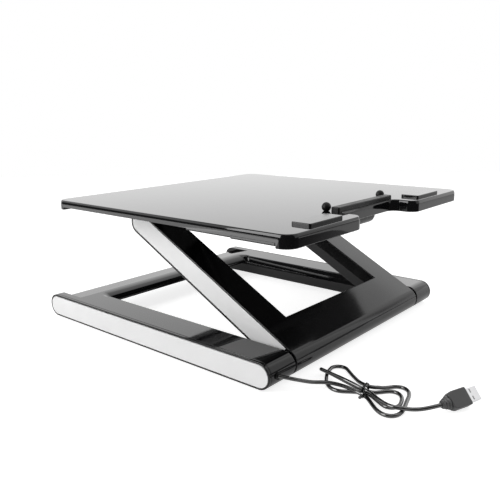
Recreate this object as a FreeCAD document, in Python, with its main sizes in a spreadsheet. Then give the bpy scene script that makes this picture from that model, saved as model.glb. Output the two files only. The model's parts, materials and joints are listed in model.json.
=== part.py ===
"""Folding projector stand: a U-shaped base, an arm hinged at its front and a notched panel on top.

Millimetres. +X runs along the hinge axes to the user's right, +Y to the rear, +Z up.
The origin lies on the floor under the middle of the stand's outline.
"""
import FreeCAD
import Part
import Sketcher
import math
import os
import re

# Driving dimensions, millimetres and degrees
SIZES = {
    "base_width": 320.0,
    "base_depth": 333.5,
    "base_height": 25.5,
    "rail_width": 38.0,
    "cap_thickness": 3.0,
    "rail_strip": 9.0,
    "rear_bar_depth": 54.0,
    "rear_bar_thickness": 9.0,
    "rear_bar_setback": 11.5,
    "rear_bar_flat": 20.0,
    "rear_bar_drop": 4.5,
    "inlay_depth": 2.0,
    "inlay_margin": 1.5,
    "inlay_gap": 0.3,
    "foot_height": 1.5,
    "foot_length": 30.0,
    "foot_width": 12.0,
    "foot_inset": 24.0,
    "arm_angle": 28.0,
    "arm_length": 224.0,
    "arm_side_gap": 1.5,
    "leg_width": 36.0,
    "plate_reach": 37.7,
    "stripe_start": 6.0,
    "pin_radius": 4.0,
    "pin_grip": 14.0,
    "pin_reach": 12.0,
    "pin_clearance": 0.05,
    "pin_end_gap": 1.0,
    "panel_width": 330.0,
    "panel_depth": 319.5,
    "panel_thickness": 7.4,
    "panel_corner": 12.0,
    "panel_axis_setback": 234.6,
    "panel_axis_drop": 15.8,
    "notch_width": 105.0,
    "notch_depth": 27.0,
    "notch_corner": 10.0,
    "lip_depth": 13.0,
    "lip_drop": 4.8,
    "lip_return": 2.0,
    "rear_lip_drop": 2.9,
    "skirt_width": 8.0,
    "skirt_length": 62.0,
    "skirt_run": 118.0,
    "skirt_step": 3.0,
    "skirt_drop": 2.9,
    "pad_width": 51.0,
    "pad_depth": 20.0,
    "pad_height": 2.5,
    "pad_side_inset": 39.0,
    "pad_front_inset": 8.0,
    "stop_width": 104.0,
    "stop_depth": 9.0,
    "stop_height": 4.5,
    "peg_radius": 4.5,
    "peg_spacing": 104.0,
    "peg_setback": 14.0,
    "hinge_block_radius": 11.0,
    "hinge_block_gap": 0.6,
    "tub_width": 149.0,
    "tub_setback": 54.3,
    "tub_length": 130.0,
    "tub_drop": 23.3,
    "tub_corner": 9.0,
    "gland_inset": 11.0,
    "gland_radius": 2.6,
    "gland_depth": 6.0,
    "gland_flange_radius": 3.4,
    "gland_flange": 1.2,
    "cord_diameter": 3.4,
    "hank_height": 10.2,
    "tie_thickness": 1.2,
    "tie_width": 2.5,
    "tie_gap": 0.3,
    "plug_length": 20.0,
    "plug_width": 15.0,
    "plug_thickness": 7.5,
    "plug_taper": 5.0,
    "plug_turn": 20.0,
    "plug_roll": 45.0,
    "neck_length": 8.5,
    "neck_radius": 3.6,
    "neck_tip_radius": 2.4,
    "shell_length": 12.0,
    "shell_width": 12.0,
    "shell_thickness": 4.5,
    "shell_wall": 0.5,
    "shell_depth": 10.0,
}

# Route of the free cord: across and ahead of the gland's mouth, and height over the floor
LEAD_ROUTE = [
    (1.8, -4.2, 14.0),
    (5.5, -11.0, 13.0),
    (14.0, -15.4, 9.5),
    (23.0, -19.6, 6.0),
    (31.0, -26.8, 5.1),
]
TAIL_ROUTE = [
    (29.8, -100.8, 4.7),
    (34.0, -104.6, 3.4),
    (37.4, -109.4, 3.6),
    (40.2, -115.2, 5.0),
    (44.4, -120.7, 7.0),
]
CORD_END = (50.0, -123.4)

# Outline of the tied hank, across and ahead of the gland's mouth, and the narrow waist that the tie holds
WAIST_LEFT = 35.0
WAIST_RIGHT = 52.0
WAIST_NEAR = -64.3
WAIST_FAR = -61.3
HANK_OUTLINE = [
    (49.5, -6.3),
    (56.5, -6.3),
    (74.0, -10.8),
    (75.5, -24.8),
    (WAIST_RIGHT, WAIST_FAR),
    (WAIST_RIGHT, WAIST_NEAR),
    (72.0, -70.8),
    (70.0, -87.8),
    (37.0, -102.8),
    (18.0, -100.3),
    (15.5, -84.8),
    (WAIST_LEFT, WAIST_NEAR),
    (WAIST_LEFT, WAIST_FAR),
    (28.0, -42.8),
    (27.5, -26.8),
]

doc = FreeCAD.newDocument("projector_stand")
sheet = doc.addObject("Spreadsheet::Sheet", "Sizes")
for row, (alias, number) in enumerate(SIZES.items(), start=1):
    sheet.set(f"A{row}", alias)
    sheet.set(f"B{row}", str(number))
    sheet.setAlias(f"B{row}", alias)
doc.recompute()

# Share of the shorter run that an arc of the cord takes up, and the angle where a peg's ball is cut flat
ARC_SHARE = 0.45
PEG_CUT = -60.0

X_AXIS = FreeCAD.Vector(1, 0, 0)
Y_AXIS = FreeCAD.Vector(0, 1, 0)
Z_AXIS = FreeCAD.Vector(0, 0, 1)
LEFT = -1
RIGHT = 1
SIDE_NAMES = {LEFT: "left", RIGHT: "right"}


def size(formula):
    """Spells a formula of sheet names, such as 'base_width / 2', with each name led by its sheet."""
    return re.sub(r"[a-z_]+", lambda word: f"Sizes.{word[0]}" if word[0] in SIZES else word[0], formula)


def value(formula):
    """The number that a formula of sheet names gives."""
    return float(sheet.evalExpression(size(formula)))


# Places that several pieces share, as formulas of the driving dimensions
END_RADIUS = "( base_height / 2 )"
ARM_RUN = "( arm_length * cos(arm_angle * 1 deg) )"
ARM_RISE = "( arm_length * sin(arm_angle * 1 deg) )"
OVERHANG = f"( panel_axis_setback - {END_RADIUS} - {ARM_RUN} )"
BASE_FRONT = f"( ( {OVERHANG} - base_depth ) / 2 )"
BASE_REAR = f"( {BASE_FRONT} + base_depth )"
AXIS_Y = f"( {BASE_FRONT} + {END_RADIUS} )"
AXIS_Z = f"( foot_height + {END_RADIUS} )"
TOP_AXIS_Y = f"( {AXIS_Y} + {ARM_RUN} )"
TOP_AXIS_Z = f"( {AXIS_Z} + {ARM_RISE} )"
PANEL_FRONT = f"( {TOP_AXIS_Y} - panel_axis_setback )"
DECK_BOTTOM = f"( {TOP_AXIS_Z} + panel_axis_drop )"
DECK_TOP = f"( {DECK_BOTTOM} + panel_thickness )"
RAIL_INNER = "( base_width / 2 - rail_width )"
LEG_OUTER = f"( {RAIL_INNER} - arm_side_gap )"
LEG_INNER = f"( {LEG_OUTER} - leg_width )"
RAIL_CORE = "( rail_width - cap_thickness )"
BAR_BACK = f"( base_depth - {END_RADIUS} - rear_bar_setback )"
BAR_CREST = f"( {BAR_BACK} - rear_bar_depth + rear_bar_flat )"
GLAND_X = "( gland_inset - base_width / 2 )"
GLAND_Y = f"( {BASE_FRONT} - gland_flange )"
NOTCH_CORNERS = [("notch_width / 2", "0"), ("notch_width / 2", "notch_depth")]
LIP_END = "( panel_corner + lip_return )"
PLUG_Z = "( plug_width / 2 * sin(plug_roll * 1 deg) + plug_thickness / 2 * cos(plug_roll * 1 deg) )"


def place(obj, x="0", y="0", z="0", tilt=None):
    """Binds an object's place to the sheet; tilt turns it about X."""
    if tilt is not None:
        obj.Placement = FreeCAD.Placement(FreeCAD.Vector(), FreeCAD.Rotation(X_AXIS, 1.0))
        obj.setExpression("Placement.Rotation.Angle", size(f"{tilt} * 1 deg"))
    obj.setExpression("Placement.Base.x", size(x))
    obj.setExpression("Placement.Base.y", size(y))
    obj.setExpression("Placement.Base.z", size(z))


def new_body(name):
    body = doc.addObject("PartDesign::Body", name)
    body.Label = name
    return body


def new_sketch(body, name, plane, offset="0"):
    """A sketch on one of the body's own origin planes, moved along that plane's normal."""
    sketch = body.newObject("Sketcher::SketchObject", f"{body.Name}_{name}")
    support = next(f for f in body.Origin.OriginFeatures if f.Role == plane)
    sketch.AttachmentSupport = [(support, "")]
    sketch.MapMode = "FlatFace"
    sketch.setExpression("AttachmentOffset.Base.z", size(offset))
    return sketch


def bind(sketch, constraint, name, formula):
    index = sketch.addConstraint(constraint)
    sketch.renameConstraint(index, name)
    sketch.setExpression(f"Constraints.{name}", size(formula))


def half_circle(x, radius, start):
    """Half a circle about (x, 0) that turns left from the start angle."""
    circle = Part.Circle(FreeCAD.Vector(x, 0, 0), Z_AXIS, radius)
    return Part.ArcOfCircle(circle, start, start + math.pi)


def draw_slot(sketch, span, radius):
    """A stadium along x: its first centre at the origin, its second one a span further on."""
    r = value(radius)
    b = value(span)
    top = sketch.addGeometry(Part.LineSegment(FreeCAD.Vector(0, r, 0), FreeCAD.Vector(b, r, 0)))
    far = sketch.addGeometry(half_circle(b, r, -math.pi / 2))
    low = sketch.addGeometry(Part.LineSegment(FreeCAD.Vector(b, -r, 0), FreeCAD.Vector(0, -r, 0)))
    near = sketch.addGeometry(half_circle(0, r, math.pi / 2))
    sketch.addConstraint(Sketcher.Constraint("Tangent", top, 2, far, 2))
    sketch.addConstraint(Sketcher.Constraint("Tangent", low, 1, far, 1))
    sketch.addConstraint(Sketcher.Constraint("Tangent", low, 2, near, 2))
    sketch.addConstraint(Sketcher.Constraint("Tangent", top, 1, near, 1))
    sketch.addConstraint(Sketcher.Constraint("Horizontal", top))
    sketch.addConstraint(Sketcher.Constraint("Horizontal", low))
    sketch.addConstraint(Sketcher.Constraint("Coincident", near, 3, -1, 1))
    bind(sketch, Sketcher.Constraint("DistanceX", near, 3, far, 3, b), "span", span)
    bind(sketch, Sketcher.Constraint("Radius", far, r), "radius", radius)


def draw_stripe(sketch, span, radius, start):
    """A stripe along x: square at x = start and half-round about a centre that lies a span further on."""
    r = value(radius)
    a = value(start)
    b = a + value(span)
    top = sketch.addGeometry(Part.LineSegment(FreeCAD.Vector(a, r, 0), FreeCAD.Vector(b, r, 0)))
    far = sketch.addGeometry(half_circle(b, r, -math.pi / 2))
    low = sketch.addGeometry(Part.LineSegment(FreeCAD.Vector(b, -r, 0), FreeCAD.Vector(a, -r, 0)))
    near = sketch.addGeometry(Part.LineSegment(FreeCAD.Vector(a, -r, 0), FreeCAD.Vector(a, r, 0)))
    sketch.addConstraint(Sketcher.Constraint("Tangent", top, 2, far, 2))
    sketch.addConstraint(Sketcher.Constraint("Tangent", low, 1, far, 1))
    sketch.addConstraint(Sketcher.Constraint("Coincident", low, 2, near, 1))
    sketch.addConstraint(Sketcher.Constraint("Coincident", near, 2, top, 1))
    sketch.addConstraint(Sketcher.Constraint("Horizontal", top))
    sketch.addConstraint(Sketcher.Constraint("Horizontal", low))
    sketch.addConstraint(Sketcher.Constraint("Vertical", near))
    sketch.addConstraint(Sketcher.Constraint("PointOnObject", far, 3, -1))
    bind(sketch, Sketcher.Constraint("DistanceX", -1, 1, near, 1, a), "start", start)
    bind(sketch, Sketcher.Constraint("DistanceX", near, 1, far, 3, b - a), "span", span)
    bind(sketch, Sketcher.Constraint("Radius", far, r), "radius", radius)


def draw_bullet(sketch, reach, radius):
    """A half-round nose about the origin with a straight body of the same width that runs to x = reach."""
    r = value(radius)
    b = value(reach)
    top = sketch.addGeometry(Part.LineSegment(FreeCAD.Vector(0, r, 0), FreeCAD.Vector(b, r, 0)))
    end = sketch.addGeometry(Part.LineSegment(FreeCAD.Vector(b, r, 0), FreeCAD.Vector(b, -r, 0)))
    low = sketch.addGeometry(Part.LineSegment(FreeCAD.Vector(b, -r, 0), FreeCAD.Vector(0, -r, 0)))
    nose = sketch.addGeometry(half_circle(0, r, math.pi / 2))
    sketch.addConstraint(Sketcher.Constraint("Coincident", top, 2, end, 1))
    sketch.addConstraint(Sketcher.Constraint("Coincident", end, 2, low, 1))
    sketch.addConstraint(Sketcher.Constraint("Tangent", low, 2, nose, 2))
    sketch.addConstraint(Sketcher.Constraint("Tangent", top, 1, nose, 1))
    sketch.addConstraint(Sketcher.Constraint("Horizontal", top))
    sketch.addConstraint(Sketcher.Constraint("Horizontal", low))
    sketch.addConstraint(Sketcher.Constraint("Vertical", end))
    sketch.addConstraint(Sketcher.Constraint("Coincident", nose, 3, -1, 1))
    bind(sketch, Sketcher.Constraint("DistanceX", -1, 1, end, 1, b), "reach", reach)
    bind(sketch, Sketcher.Constraint("Radius", nose, r), "radius", radius)


def draw_circle(sketch, along, radius):
    """A circle centred on the sketch's x axis at the given distance."""
    circle = sketch.addGeometry(Part.Circle(FreeCAD.Vector(value(along), 0, 0), Z_AXIS, value(radius)))
    if along == "0":
        sketch.addConstraint(Sketcher.Constraint("Coincident", circle, 3, -1, 1))
    else:
        sketch.addConstraint(Sketcher.Constraint("PointOnObject", circle, 3, -1))
        bind(sketch, Sketcher.Constraint("DistanceX", -1, 1, circle, 3, value(along)), "along", along)
    bind(sketch, Sketcher.Constraint("Radius", circle, value(radius)), "radius", radius)


def draw_polygon(sketch, corners):
    """Straight sides through corners given as pairs of formulas, each corner measured from the origin."""
    count = len(corners)
    points = [FreeCAD.Vector(value(x), value(y), 0) for x, y in corners]
    for index in range(count):
        sketch.addGeometry(Part.LineSegment(points[index], points[(index + 1) % count]))
    for index in range(count):
        sketch.addConstraint(Sketcher.Constraint("Coincident", index, 2, (index + 1) % count, 1))
    for index, (x, y) in enumerate(corners):
        across = Sketcher.Constraint("DistanceX", -1, 1, index, 1, points[index].x)
        upward = Sketcher.Constraint("DistanceY", -1, 1, index, 1, points[index].y)
        bind(sketch, across, f"x{index}", x)
        bind(sketch, upward, f"y{index}", y)


def pad(body, sketch, length, reversed_way=False):
    feature = body.newObject("PartDesign::Pad", f"{sketch.Name}_pad")
    feature.Profile = sketch
    feature.setExpression("Length", size(length))
    feature.Reversed = reversed_way
    sketch.Visibility = False
    doc.recompute()
    return feature


def pocket(body, sketch, depth, towards_plus):
    """Cuts a sketch into its body along the sketch's normal, or against it, and proves that it cut."""
    before = body.Shape.Volume
    feature = body.newObject("PartDesign::Pocket", f"{sketch.Name}_pocket")
    feature.Profile = sketch
    feature.setExpression("Length", size(depth))
    feature.Reversed = towards_plus
    sketch.Visibility = False
    doc.recompute()
    if body.Shape.Volume >= before:
        raise RuntimeError(f"{sketch.Name} cuts nothing")
    return feature


def bore(body, name, plane_offset, along, radius, depth, towards_plus):
    """A round blind hole along X, centred on the body's own Y axis at the given distance."""
    sketch = new_sketch(body, name, "YZ_Plane", plane_offset)
    draw_circle(sketch, along, radius)
    pocket(body, sketch, depth, towards_plus)


def box(name, length, width, height, x, y, z):
    solid = doc.addObject("Part::Box", name)
    solid.Label = name
    for side, formula in (("Length", length), ("Width", width), ("Height", height)):
        solid.setExpression(side, size(formula))
    place(solid, x, y, z)
    return solid


def base_rail(side):
    """A side rail, bored for the hinge pin; at the rear its top slopes beside a strip of full height."""
    body = new_body(f"base_{SIDE_NAMES[side]}_rail")
    place(body, f"{side} * ( base_width / 2 - cap_thickness )", AXIS_Y, AXIS_Z)
    profile = new_sketch(body, "profile", "YZ_Plane")
    draw_bullet(profile, BAR_CREST, END_RADIUS)
    pad(body, profile, RAIL_CORE, reversed_way=side == RIGHT)
    slope = new_sketch(body, "slope", "YZ_Plane")
    corners = [
        (BAR_CREST, f"0 - {END_RADIUS}"),
        (BAR_BACK, f"0 - {END_RADIUS}"),
        (BAR_BACK, f"{END_RADIUS} - rear_bar_drop"),
        (BAR_CREST, END_RADIUS),
    ]
    draw_polygon(slope, corners)
    pad(body, slope, RAIL_CORE, reversed_way=side == RIGHT)
    strip = new_sketch(body, "strip", "YZ_Plane")
    draw_slot(strip, "base_depth - base_height", END_RADIUS)
    pad(body, strip, "rail_strip", reversed_way=side == RIGHT)
    bore(body, "pin_bore", f"{-side} * {RAIL_CORE}", "0", "pin_radius", "pin_grip", side == RIGHT)
    if side == LEFT:
        seat = new_sketch(body, "gland_seat", "XZ_Plane", END_RADIUS)
        draw_circle(seat, "gland_inset - cap_thickness", "gland_radius")
        pocket(body, seat, "gland_depth", False)
    return body


def base_cap(side):
    """The cover on a rail's outer side, with a shallow bed for the pale inlay."""
    body = new_body(f"base_{SIDE_NAMES[side]}_cap")
    place(body, f"{side} * base_width / 2", AXIS_Y, AXIS_Z)
    profile = new_sketch(body, "profile", "YZ_Plane")
    draw_slot(profile, "base_depth - base_height", END_RADIUS)
    pad(body, profile, "cap_thickness", reversed_way=side == RIGHT)
    bed = new_sketch(body, "bed", "YZ_Plane")
    draw_slot(bed, "base_depth - base_height", f"{END_RADIUS} - inlay_margin")
    pocket(body, bed, "inlay_depth", side == LEFT)
    return body


def base_inlay(side):
    body = new_body(f"base_{SIDE_NAMES[side]}_inlay")
    place(body, f"{side} * base_width / 2", AXIS_Y, AXIS_Z)
    profile = new_sketch(body, "profile", "YZ_Plane")
    draw_slot(profile, "base_depth - base_height", f"{END_RADIUS} - inlay_margin - inlay_gap")
    pad(body, profile, "inlay_depth", reversed_way=side == RIGHT)
    return body


def base_rear_bar():
    """The thin bar that joins the rails at the rear: flat on top, then sloping down to its back."""
    body = new_body("base_rear_bar")
    underside = "foot_height + base_height - rear_bar_thickness"
    place(body, f"0 - {RAIL_INNER}", f"{BASE_REAR} - rear_bar_setback - rear_bar_depth", underside)
    profile = new_sketch(body, "profile", "YZ_Plane")
    corners = [
        ("0", "0"),
        ("rear_bar_depth", "0"),
        ("rear_bar_depth", "rear_bar_thickness - rear_bar_drop"),
        ("rear_bar_flat", "rear_bar_thickness"),
        ("0", "rear_bar_thickness"),
    ]
    draw_polygon(profile, corners)
    pad(body, profile, f"2 * {RAIL_INNER}")
    return body


def pin(name, middle, grip_side, y, z):
    """A hinge pin along X that grips one piece and reaches into its neighbour."""
    solid = doc.addObject("Part::Cylinder", name)
    solid.Label = name
    solid.setExpression("Radius", size("pin_radius"))
    solid.setExpression("Height", size("pin_grip + pin_reach"))
    solid.Placement = FreeCAD.Placement(FreeCAD.Vector(), FreeCAD.Rotation(Y_AXIS, 90))
    start = f"{middle} - pin_grip" if grip_side == LEFT else f"{middle} - pin_reach"
    solid.setExpression("Placement.Base.x", size(start))
    solid.setExpression("Placement.Base.y", size(y))
    solid.setExpression("Placement.Base.z", size(z))
    return solid


def foot(side, end):
    """A flat rubber foot under a rail."""
    name = f"foot_{end}_{SIDE_NAMES[side]}"
    x = f"{side} * ( base_width / 2 - rail_width / 2 ) - foot_width / 2"
    front = f"{BASE_FRONT} + foot_inset"
    rear = f"{BASE_REAR} - foot_inset - foot_length"
    return box(name, "foot_width", "foot_length", "foot_height", x, front if end == "front" else rear, "0")


def arm_leg(side):
    """One leg of the arm: half-round at both ends, bedded for its stripe and bored for both hinges."""
    body = new_body(f"arm_{SIDE_NAMES[side]}_leg")
    place(body, f"{side} * {LEG_OUTER}", AXIS_Y, AXIS_Z, tilt="arm_angle")
    profile = new_sketch(body, "profile", "YZ_Plane")
    draw_slot(profile, "arm_length", END_RADIUS)
    pad(body, profile, "leg_width", reversed_way=side == RIGHT)
    bed = new_sketch(body, "bed", "YZ_Plane")
    draw_stripe(bed, "arm_length - stripe_start", f"{END_RADIUS} - inlay_margin", "stripe_start")
    pocket(body, bed, "inlay_depth", side == LEFT)
    running = "pin_radius + pin_clearance"
    depth = "pin_reach - arm_side_gap + pin_end_gap"
    bore(body, "lower_bore", "0", "0", running, depth, side == LEFT)
    bore(body, "upper_bore", f"{-side} * leg_width", "arm_length", "pin_radius", "pin_grip", side == RIGHT)
    return body


def arm_stripe(side):
    body = new_body(f"arm_{SIDE_NAMES[side]}_stripe")
    place(body, f"{side} * {LEG_OUTER}", AXIS_Y, AXIS_Z, tilt="arm_angle")
    profile = new_sketch(body, "profile", "YZ_Plane")
    radius = f"{END_RADIUS} - inlay_margin - inlay_gap"
    draw_stripe(profile, "arm_length - stripe_start", radius, "stripe_start")
    pad(body, profile, "inlay_depth", reversed_way=side == RIGHT)
    return body


def arm_lower_plate():
    """The plate between the legs' lower ends, with the hinge's half-round front."""
    body = new_body("arm_lower_plate")
    place(body, f"0 - {LEG_INNER}", AXIS_Y, AXIS_Z, tilt="arm_angle")
    profile = new_sketch(body, "profile", "YZ_Plane")
    draw_bullet(profile, "plate_reach", END_RADIUS)
    pad(body, profile, f"2 * {LEG_INNER}")
    return body


def mirrored(right_half):
    """The left half of an outline from its right half, in the order that closes it."""
    return [(f"0 - ( {x} )", y) for x, y in reversed(right_half)]


def round_corners(body, base, places, radius):
    """Rounds the upright edges at the given places and at their mirror places."""
    spots = [FreeCAD.Vector(value(x), value(y), 0) for x, y in places]
    edges = []
    for number, edge in enumerate(base.Shape.Edges, start=1):
        middle = edge.CenterOfMass
        upright = edge.BoundBox.ZLength > edge.BoundBox.XLength + edge.BoundBox.YLength
        if upright and any(math.hypot(abs(middle.x) - spot.x, middle.y - spot.y) < 0.01 for spot in spots):
            edges.append(f"Edge{number}")
    fillet = body.newObject("PartDesign::Fillet", f"{body.Name}_{radius}")
    fillet.Base = (base, edges)
    fillet.setExpression("Radius", size(radius))
    base.Visibility = False
    doc.recompute()
    return fillet


def panel_deck():
    """The top plate: rounded corners and a notch in the middle of its front edge."""
    body = new_body("panel_deck")
    place(body, "0", PANEL_FRONT, DECK_BOTTOM)
    outline = new_sketch(body, "outline", "XY_Plane")
    right_half = [
        ("notch_width / 2", "notch_depth"),
        ("notch_width / 2", "0"),
        ("panel_width / 2", "0"),
        ("panel_width / 2", "panel_depth"),
    ]
    draw_polygon(outline, right_half + mirrored(right_half))
    plate = pad(body, outline, "panel_thickness")
    outer = [("panel_width / 2", "0"), ("panel_width / 2", "panel_depth")]
    rounded = round_corners(body, plate, outer, "panel_corner")
    round_corners(body, rounded, NOTCH_CORNERS, "notch_corner")
    return body


def panel_lip():
    """The turned-down edge along the deck's front and round the notch."""
    body = new_body("panel_lip")
    place(body, "0", PANEL_FRONT, f"{DECK_BOTTOM} - lip_drop")
    outline = new_sketch(body, "outline", "XY_Plane")
    right_half = [
        ("notch_width / 2", "notch_depth"),
        ("notch_width / 2", "0"),
        ("panel_width / 2", "0"),
        ("panel_width / 2", LIP_END),
        ("panel_width / 2 - skirt_width", LIP_END),
        ("panel_width / 2 - skirt_width", "lip_depth"),
        ("notch_width / 2 + lip_depth", "lip_depth"),
        ("notch_width / 2 + lip_depth", "notch_depth + lip_depth"),
    ]
    draw_polygon(outline, right_half + mirrored(right_half))
    band = pad(body, outline, "lip_drop")
    rounded = round_corners(body, band, [("panel_width / 2", "0")], "panel_corner")
    round_corners(body, rounded, NOTCH_CORNERS, "notch_corner")
    return body


def panel_skirt(side):
    """The band under the deck's side edge: flush behind the lip, then stepped back."""
    body = new_body(f"panel_{SIDE_NAMES[side]}_skirt")
    place(body, "0", PANEL_FRONT, f"{DECK_BOTTOM} - skirt_drop")
    outer = f"{side} * ( panel_width / 2 )"
    stepped = f"{side} * ( panel_width / 2 - skirt_step )"
    inner = f"{side} * ( panel_width / 2 - skirt_width )"
    outline = new_sketch(body, "outline", "XY_Plane")
    corners = [
        (outer, LIP_END),
        (outer, "skirt_length"),
        (stepped, "skirt_length"),
        (stepped, "skirt_run"),
        (inner, "skirt_run"),
        (inner, LIP_END),
    ]
    draw_polygon(outline, corners)
    pad(body, outline, "skirt_drop")
    return body


def panel_rear_lip():
    """The turned-down edge along the deck's rear."""
    body = new_body("panel_rear_lip")
    place(body, "0", PANEL_FRONT, f"{DECK_BOTTOM} - rear_lip_drop")
    outline = new_sketch(body, "outline", "XY_Plane")
    right_half = [("panel_width / 2", "panel_depth - lip_depth"), ("panel_width / 2", "panel_depth")]
    draw_polygon(outline, right_half + mirrored(right_half))
    band = pad(body, outline, "rear_lip_drop")
    round_corners(body, band, [("panel_width / 2", "panel_depth")], "panel_corner")
    return body


def panel_stop():
    """The raised bar along the notch's back edge."""
    y = f"{PANEL_FRONT} + notch_depth"
    return box("panel_stop", "stop_width", "stop_depth", "stop_height", "0 - stop_width / 2", y, DECK_TOP)


def panel_pad(side):
    """A raised rubber pad on a front corner of the deck."""
    middle = "( panel_width / 2 - pad_side_inset - pad_width / 2 )"
    x = f"{side} * {middle} - pad_width / 2"
    name = f"panel_{SIDE_NAMES[side]}_pad"
    return box(name, "pad_width", "pad_depth", "pad_height", x, f"{PANEL_FRONT} + pad_front_inset", DECK_TOP)


def panel_peg(side):
    """A ball-headed stop behind the notch: a sphere cut flat where it stands on the deck."""
    name = f"panel_{SIDE_NAMES[side]}_peg"
    solid = doc.addObject("Part::Sphere", name)
    solid.Label = name
    solid.setExpression("Radius", size("peg_radius"))
    solid.Angle1 = PEG_CUT
    y = f"{PANEL_FRONT} + notch_depth + peg_setback"
    z = f"{DECK_TOP} - peg_radius * sin({PEG_CUT} * 1 deg)"
    place(solid, f"{side} * peg_spacing / 2", y, z)
    return solid


def panel_hinge_block():
    """The block under the deck that turns between the legs' upper ends."""
    body = new_body("panel_hinge_block")
    length = f"( {LEG_INNER} - hinge_block_gap )"
    place(body, f"0 - {length}", TOP_AXIS_Y, TOP_AXIS_Z, tilt="90")
    profile = new_sketch(body, "profile", "YZ_Plane")
    draw_bullet(profile, "panel_axis_drop", "hinge_block_radius")
    pad(body, profile, f"2 * {length}")
    running = "pin_radius + pin_clearance"
    depth = "pin_reach - hinge_block_gap + pin_end_gap"
    bore(body, "left_bore", "0", "0", running, depth, True)
    bore(body, "right_bore", f"2 * {length}", "0", running, depth, False)
    return body


def panel_tub():
    """The shallow housing under the deck that drops between the legs when the stand is folded."""
    body = new_body("panel_tub")
    place(body, "0", f"{PANEL_FRONT} + tub_setback", f"{DECK_BOTTOM} - tub_drop")
    outline = new_sketch(body, "outline", "XY_Plane")
    corners = [
        ("0 - tub_width / 2", "0"),
        ("tub_width / 2", "0"),
        ("tub_width / 2", "tub_length"),
        ("0 - tub_width / 2", "tub_length"),
    ]
    draw_polygon(outline, corners)
    block = pad(body, outline, "tub_drop")
    floor_face = next(
        f"Face{number}"
        for number, face in enumerate(block.Shape.Faces, start=1)
        if face.BoundBox.ZMax < 0.01
    )
    fillet = body.newObject("PartDesign::Fillet", "panel_tub_corner")
    fillet.Base = (block, [floor_face])
    fillet.setExpression("Radius", size("tub_corner"))
    block.Visibility = False
    doc.recompute()
    return body


def base_gland():
    """The round gland in the left rail's front end that the cord comes out of."""
    parts = []
    for name, radius, height, y in (
        ("base_gland_stem", "gland_radius", "gland_depth", f"{BASE_FRONT} + gland_depth"),
        ("base_gland_flange", "gland_flange_radius", "gland_flange", BASE_FRONT),
    ):
        solid = doc.addObject("Part::Cylinder", name)
        solid.setExpression("Radius", size(radius))
        solid.setExpression("Height", size(height))
        solid.Placement = FreeCAD.Placement(FreeCAD.Vector(), FreeCAD.Rotation(X_AXIS, 90))
        solid.setExpression("Placement.Base.x", size(GLAND_X))
        solid.setExpression("Placement.Base.y", size(y))
        solid.setExpression("Placement.Base.z", size(AXIS_Z))
        parts.append(solid)
    gland = doc.addObject("Part::Fuse", "base_gland")
    gland.Label = "base_gland"
    gland.Base, gland.Tool = parts
    return gland


def beside_gland(across, ahead, height):
    """A point of the cord, given from the gland's mouth and the floor."""
    return FreeCAD.Vector(value(GLAND_X) + across, value(GLAND_Y) + ahead, height)


def cord_tube(name, points):
    """A round tube along straight runs that are joined by tangent arcs, as large as the runs allow."""
    edges = []
    radii = []
    start = points[0]
    for before, corner, after in zip(points, points[1:], points[2:]):
        arriving = (corner - before).normalize()
        leaving = (after - corner).normalize()
        half_turn = arriving.getAngle(leaving) / 2
        trim = ARC_SHARE * min(before.distanceToPoint(corner), corner.distanceToPoint(after))
        radius = trim / math.tan(half_turn)
        inward = (leaving - arriving).normalize()
        first = corner - arriving * trim
        last = corner + leaving * trim
        crown = corner + inward * (radius / math.cos(half_turn) - radius)
        edges += [Part.LineSegment(start, first).toShape(), Part.Arc(first, crown, last).toShape()]
        radii.append(round(radius, 1))
        start = last
    edges.append(Part.LineSegment(start, points[-1]).toShape())
    path = Part.Wire(edges)
    section_radius = value("cord_diameter") / 2
    section = Part.Wire(Part.Circle(points[0], points[1] - points[0], section_radius).toShape())
    tube = doc.addObject("Part::Feature", name)
    tube.Label = name
    tube.Shape = path.makePipeShell([section], True, False)
    share = tube.Shape.Volume / (math.pi * section_radius ** 2 * path.Length)
    print(name, "radii", radii, "length", round(path.Length, 1), "volume share", round(share, 4))
    return tube


def cord_hank():
    """The cord's tied hank as one plain block of its outline."""
    body = new_body("cord_hank")
    place(body, GLAND_X, GLAND_Y)
    outline = new_sketch(body, "outline", "XY_Plane")
    draw_polygon(outline, [(str(across), str(ahead)) for across, ahead in HANK_OUTLINE])
    pad(body, outline, "hank_height")
    return body


def cord_tie():
    """The tie over the hank's waist."""
    middle = (WAIST_NEAR + WAIST_FAR) / 2
    y = f"{GLAND_Y} + {middle} - tie_width / 2"
    left = f"( {GLAND_X} + {WAIST_LEFT} - tie_gap )"
    width = f"( {WAIST_RIGHT - WAIST_LEFT} + 2 * tie_gap )"
    height = "( hank_height + tie_gap )"
    wall = "tie_thickness"
    outer_width = f"{width} + 2 * {wall}"
    outer = box("cord_tie_outer", outer_width, "tie_width", f"{height} + {wall}", f"{left} - {wall}", y, "0")
    inner = box("cord_tie_inner", width, "tie_width", height, left, y, "0")
    tie = doc.addObject("Part::Cut", "cord_tie")
    tie.Label = "cord_tie"
    tie.Base, tie.Tool = outer, inner
    return tie


def plug_frame():
    """The plug's own frame: x along it from the cord, z out of its broad face."""
    turn = FreeCAD.Rotation(Z_AXIS, -value("plug_turn"))
    roll = FreeCAD.Rotation(X_AXIS, value("plug_roll"))
    cord_end = beside_gland(*CORD_END, value(PLUG_Z))
    reach = FreeCAD.Vector(value("neck_length + plug_length / 2"), 0, 0)
    return FreeCAD.Placement(cord_end + turn.multVec(reach), turn * roll)


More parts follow.
